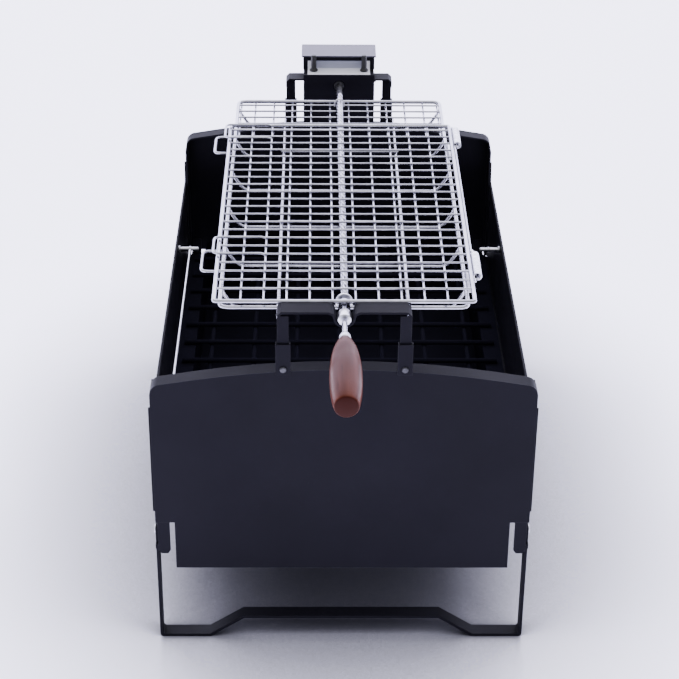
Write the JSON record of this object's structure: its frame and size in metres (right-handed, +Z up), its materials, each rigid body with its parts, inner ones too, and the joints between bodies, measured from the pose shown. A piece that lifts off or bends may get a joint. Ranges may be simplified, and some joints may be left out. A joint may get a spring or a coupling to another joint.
{
  "type": "rotisserie spit roaster",
  "caption": "Folding sheet-steel charcoal roaster with strap legs and supports, a hinged wire basket on a motor-driven spit and a wooden handle.",
  "frame": {"origin": "On the floor, under the middle of the whole object's box.", "axes": "+Y runs along the spit from the handle to the motor, +X to the right seen from the handle end, +Z up."},
  "size_m": [0.29, 0.6094, 0.318],
  "materials": {
    "black_coat": "satin powder coat",
    "plain_steel": "plain bright steel",
    "chrome_wire": "bright plated",
    "brushed_cover": "brushed along its length",
    "handle_wood": "stained and varnished",
    "black_plastic": "fine matt texture",
    "grey_face": "smooth, pale blue-grey",
    "gear_nylon": "moulded nylon",
    "battery_wrap": "plain printed-free sleeve"
  },
  "bodies": {
    "frame": {"end_panel_front": "black_coat", "end_panel_rear": "black_coat", "side_wall_left": "black_coat", "side_wall_right": "black_coat", "ash_pan": "black_coat", "leg_bracket_front_left": "black_coat", "leg_bracket_front_right": "black_coat", "leg_bracket_rear_left": "black_coat", "leg_bracket_rear_right": "black_coat", "support_front": "black_coat", "support_rear": "black_coat", "sleeve_front_left": "black_coat", "sleeve_front_right": "black_coat", "sleeve_rear_left": "black_coat", "sleeve_rear_right": "black_coat", "motor_bracket": "black_coat", "window_frame": "black_coat", "wall_peg_left": "plain_steel", "wall_peg_right": "plain_steel", "leg_pin_front_left": "plain_steel", "leg_pin_front_right": "plain_steel", "leg_pin_rear_left": "plain_steel", "leg_pin_rear_right": "plain_steel", "sleeve_screw_front_left": "plain_steel", "sleeve_screw_front_right": "plain_steel", "sleeve_screw_rear_left": "plain_steel", "sleeve_screw_rear_right": "plain_steel", "motor_can": "plain_steel", "motor_cover": "brushed_cover", "motor_housing": "black_plastic", "motor_back": "black_plastic", "motor_post_left": "black_plastic", "motor_post_right": "black_plastic", "motor_face": "grey_face", "battery_lower": "battery_wrap", "battery_upper": "battery_wrap"},
    "spit": {"spit_rod": "chrome_wire", "handle": "handle_wood", "ferrule": "plain_steel", "bearing_bush": "plain_steel", "set_collar": "chrome_wire", "end_plate_front": "plain_steel", "end_plate_rear": "plain_steel", "tray_rim": "chrome_wire", "tray_grid": "chrome_wire", "tray_mesh_rear": "chrome_wire"},
    "lid": {"basket_lid": "chrome_wire", "lid_bail_front": "chrome_wire", "lid_bail_rear": "chrome_wire", "latch_wire": "chrome_wire"},
    "latch_front": {"latch_front": "plain_steel"},
    "latch_rear": {"latch_rear": "plain_steel"},
    "leg_front": {"leg_front": "black_coat"},
    "leg_rear": {"leg_rear": "black_coat"},
    "grate": {"charcoal_grate": "black_coat"},
    "drive": {"drive_socket": "plain_steel", "output_gear": "gear_nylon"},
    "pinion": {"motor_pinion": "gear_nylon"},
    "battery_door": {"battery_door": "black_plastic"},
    "switch": {"motor_switch": "black_plastic"}
  },
  "joints": [
    {"name": "spit_turn", "type": "hinge", "parent": "frame", "child": "spit", "pos_m": [0, -0.1776, 0.294], "axis": [0, 1, 0], "continuous": true},
    {"name": "lid_hinge", "type": "hinge", "parent": "spit", "child": "lid", "pos_m": [-0.0945, -0.1576, 0.2978], "axis": [0, 1, 0], "range_deg": [-110, 0]},
    {"name": "latch_front_turn", "type": "hinge", "parent": "lid", "child": "latch_front", "pos_m": [0.0997, -0.1266, 0.2978], "axis": [0, 1, 0], "range_deg": [-100, 0]},
    {"name": "latch_rear_turn", "type": "hinge", "parent": "lid", "child": "latch_rear", "pos_m": [0.0997, 0.1124, 0.2978], "axis": [0, 1, 0], "range_deg": [-100, 0]},
    {"name": "leg_front_fold", "type": "hinge", "parent": "frame", "child": "leg_front", "pos_m": [0, -0.1716, 0.1], "axis": [1, 0, 0], "range_deg": [0, 66]},
    {"name": "leg_rear_fold", "type": "hinge", "parent": "frame", "child": "leg_rear", "pos_m": [0, 0.2564, 0.1], "axis": [-1, 0, 0], "range_deg": [0, 66]},
    {"name": "grate_lift", "type": "slide", "parent": "frame", "child": "grate", "axis": [0, 0, 1], "range_m": [0, 0.045]},
    {"name": "output_spin", "type": "hinge", "parent": "frame", "child": "drive", "pos_m": [0, 0.2814, 0.294], "axis": [0, 1, 0], "continuous": true},
    {"name": "pinion_spin", "type": "hinge", "parent": "frame", "child": "pinion", "pos_m": [0, 0.2814, 0.274], "axis": [0, 1, 0], "continuous": true},
    {"name": "battery_door_open", "type": "hinge", "parent": "frame", "child": "battery_door", "pos_m": [0, 0.3028, 0.2366], "axis": [-1, 0, 0], "range_deg": [0, 95]},
    {"name": "switch_slide", "type": "slide", "parent": "frame", "child": "switch", "axis": [0, 1, 0], "range_m": [0, 0.0038]}
  ],
  "couplings": [
    {"joint": "output_spin", "follows": "spit_turn", "ratio": 1},
    {"joint": "pinion_spin", "follows": "spit_turn", "ratio": -3}
  ]
}
